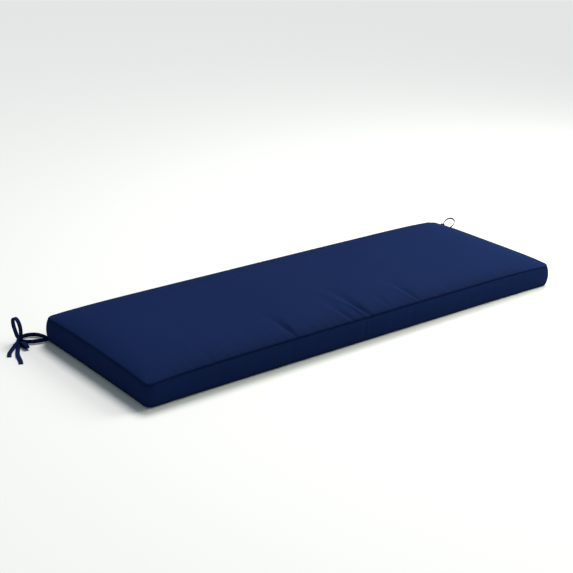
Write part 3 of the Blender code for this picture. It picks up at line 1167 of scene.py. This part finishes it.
    def add(self, name: str, mesh: Mesh, cloth: Material) -> Object:
        """Puts a piece of the tie in the scene in place of its solid.

        Args:
            name: Its name.
            mesh: Its shape.
            cloth: What it is made of.

        Returns:
            The piece.
        """
        piece = put_in_scene(name, mesh)
        mesh.materials.append(cloth)
        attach(piece, "root")
        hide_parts(self.name)
        return piece

    def dress(self) -> list[Object]:
        """Builds the tie's strips and its knot.

        Returns:
            Its pieces.
        """
        cloth = self.finish.material()
        pieces = [self.strip(n, strand, cloth) for n, strand in enumerate(self.strands, 1)]
        return [*pieces, self.wrapped_knot(cloth)]


def lying(*rows: tuple[float, float, float, float]) -> tuple[Step, ...]:
    """Steps of a strip that lies flat, from places out, back and up, and its turn."""
    return tuple(Step(*row) for row in rows)


def on_edge(*places: Pair) -> tuple[Step, ...]:
    """Steps of a strip that stands on its edge, from places out and back."""
    return tuple(Step(out, back, ON_EDGE, stand=1.0) for out, back in places)


# Where each knot lies, out and back from its corner.
LEFT_KNOT = (0.069, 0.030)
RIGHT_KNOT = (0.092, 0.047)
LEFT_STRANDS = (
    Strand(
        start=on_edge(
            (0.0, -0.001), (0.018, -0.001), (0.038, 0.004), (0.056, 0.014), (0.067, 0.027)
        ),
        loop=Loop(heading=80.0, length=0.067, height=0.031, tilt=62.0),
        tail=lying(
            (0.072, 0.029, 0.0065, 56), (0.083, 0.022, 0.0040, 52), (0.095, 0.011, LYING, 47),
            (0.108, -0.003, LYING, 42), (0.121, -0.019, 0.0022, 36), (0.131, -0.037, LYING, 29),
        ),
    ),
    Strand(
        start=on_edge(
            (0.001, 0.004), (0.004, 0.022), (0.013, 0.041), (0.029, 0.052), (0.047, 0.052),
            (0.060, 0.043), (0.067, 0.033),
        ),
        loop=Loop(heading=-86.0, length=0.054, height=0.013, tilt=0.0),
        tail=lying(
            (0.071, 0.027, 0.0080, 32), (0.081, 0.011, 0.0055, 32), (0.092, -0.007, LYING, 30),
            (0.103, -0.027, LYING, 26), (0.112, -0.049, 0.0026, 20), (0.118, -0.072, LYING, 18),
            (0.126, -0.094, LYING, 21),
        ),
    ),
)
RIGHT_STRANDS = (
    Strand(
        start=on_edge(
            (0.0, -0.001), (0.021, 0.0), (0.045, 0.007), (0.068, 0.023), (0.089, 0.043)
        ),
        loop=Loop(heading=-74.0, length=0.067, height=0.031, tilt=35.0, twist=24.0),
        tail=lying(
            (0.093, 0.051, 0.0065, -5), (0.093, 0.067, 0.0040, -2), (0.089, 0.083, LYING, 8),
            (0.083, 0.101, LYING, 25), (0.071, 0.117, 0.0022, 42), (0.056, 0.131, LYING, 47),
        ),
    ),
    Strand(
        start=on_edge(
            (0.001, 0.004), (0.004, 0.024), (0.015, 0.046), (0.033, 0.061), (0.055, 0.066),
            (0.074, 0.061), (0.088, 0.051),
        ),
        loop=Loop(heading=40.0, length=0.054, height=0.018, tilt=0.0),
        tail=lying(
            (0.089, 0.052, 0.0080, 28), (0.078, 0.070, 0.0145, 32), (0.066, 0.085, 0.0060, 40),
            (0.051, 0.099, LYING, 48), (0.032, 0.111, LYING, 60), (0.009, 0.119, 0.0026, 72),
            (-0.015, 0.124, LYING, 80),
        ),
    ),
)


@dataclass
class Studio:
    """The pale floor, the soft light and the camera."""

    focal_pixels: float = 1225.42
    frame_pixels: float = 573.0
    place: Triple = (-2.0529, -2.4875, 1.3062)
    azimuth: float = -38.1694
    elevation: float = 20.9478
    roll: float = 0.8668
    film_width: float = 36.0
    floor_size: float = 60.0
    floor_drop: float = 0.0004
    key_strength: float = 2.95
    key_colour: Colour = (1.0, 0.96, 0.92)
    key_direction: Triple = (0.47, 0.38, 0.80)
    key_softness: float = 24.0
    side_power: float = 47.0
    side_colour: Colour = (1.0, 1.0, 0.84)
    side_place: Triple = (1.78, -0.58, 1.45)
    side_size: float = 1.4
    world_colour: Colour = (0.82, 0.99, 1.0)
    world_strength: float = 0.27

    def floor(self) -> None:
        """Lays the floor."""
        half = self.floor_size / 2
        corners = [(-half, -half), (half, -half), (half, half), (-half, half)]
        mesh = bpy.data.meshes.new("floor")
        mesh.from_pydata([(x, y, -self.floor_drop) for x, y in corners], [], [(0, 1, 2, 3)])
        mesh.materials.append(PaleFloor().material())
        put_in_scene("floor", mesh)

    def lamp(self, name: str, kind: str, direction: Sequence[float]) -> Object:
        """Makes a lamp that shines on the cushion.

        Args:
            name: Its name.
            kind: Blender's type of light.
            direction: Where it shines from.

        Returns:
            The lamp.
        """
        lamp = put_in_scene(name, bpy.data.lights.new(name, kind))
        lamp.rotation_mode = "QUATERNION"
        lamp.rotation_quaternion = Vector(direction).to_track_quat("Z", "Y")
        return lamp

    def light(self) -> None:
        """Sets up a broad key light, a softer one on the right and an even surround."""
        key = self.lamp("key", "SUN", self.key_direction)
        key.data.energy = self.key_strength
        key.data.color = self.key_colour
        key.data.angle = math.radians(self.key_softness)
        side = self.lamp("side", "AREA", self.side_place)
        side.location = self.side_place
        side.data.energy = self.side_power
        side.data.color = self.side_colour
        side.data.shape = "DISK"
        side.data.size = self.side_size
        world = bpy.data.worlds.new("surround")
        world.use_nodes = True
        surround = world.node_tree.nodes["Background"]
        surround.inputs["Color"].default_value = (*self.world_colour, 1.0)
        surround.inputs["Strength"].default_value = self.world_strength
        bpy.context.scene.world = world
        bpy.context.scene.view_settings.view_transform = "Standard"

    def camera(self) -> None:
        """Places the camera at the photograph's angle and distance."""
        turn, tilt, roll = (math.radians(a) for a in (self.azimuth, self.elevation, self.roll))
        flat = math.cos(tilt)
        back = Vector((math.sin(turn) * flat, -math.cos(turn) * flat, math.sin(tilt)))
        right = (-back).cross(Vector((0.0, 0.0, 1.0))).normalized()
        up = right.cross(-back)
        rolled_right = right * math.cos(roll) + up * math.sin(roll)
        rolled_up = up * math.cos(roll) - right * math.sin(roll)
        lens = bpy.data.cameras.new("camera")
        lens.sensor_width = self.film_width
        lens.lens = self.focal_pixels * self.film_width / self.frame_pixels
        view = put_in_scene("camera", lens)
        axes = Matrix((rolled_right, rolled_up, back)).transposed().to_4x4()
        view.matrix_world = Matrix.Translation(self.place) @ axes
        bpy.context.scene.camera = view


def main() -> None:
    """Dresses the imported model: the studio, the cover and both ties."""
    logging.basicConfig(level=logging.INFO, format="%(name)s: %(message)s")
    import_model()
    studio = Studio()
    studio.floor()
    studio.light()
    studio.camera()
    navy: Colour = (0.0060, 0.0152, 0.0660)
    # The ties' navy is the cover's navy darkened, as painted shade for the shade they lie in.
    navy_in_painted_shade: Colour = (0.0050, 0.0127, 0.0550)
    cover = Cover(finish=WovenCloth(name="navy_cover_cloth", colour=navy)).dress()
    LOG.info("%s: %d faces before smoothing", cover.name, len(cover.data.polygons))
    strip_cloth = StitchedStrip(name="navy_tie_cloth", colour=navy_in_painted_shade)
    ties = (
        Tie("tie_left", Corner.LEFT, LEFT_KNOT, LEFT_STRANDS, strip_cloth),
        Tie("tie_right", Corner.RIGHT, RIGHT_KNOT, RIGHT_STRANDS, strip_cloth),
    )
    for tie in ties:
        pieces = tie.dress()
        LOG.info("%s: %d pieces", tie.name, len(pieces))


if __name__ == "__main__":
    main()
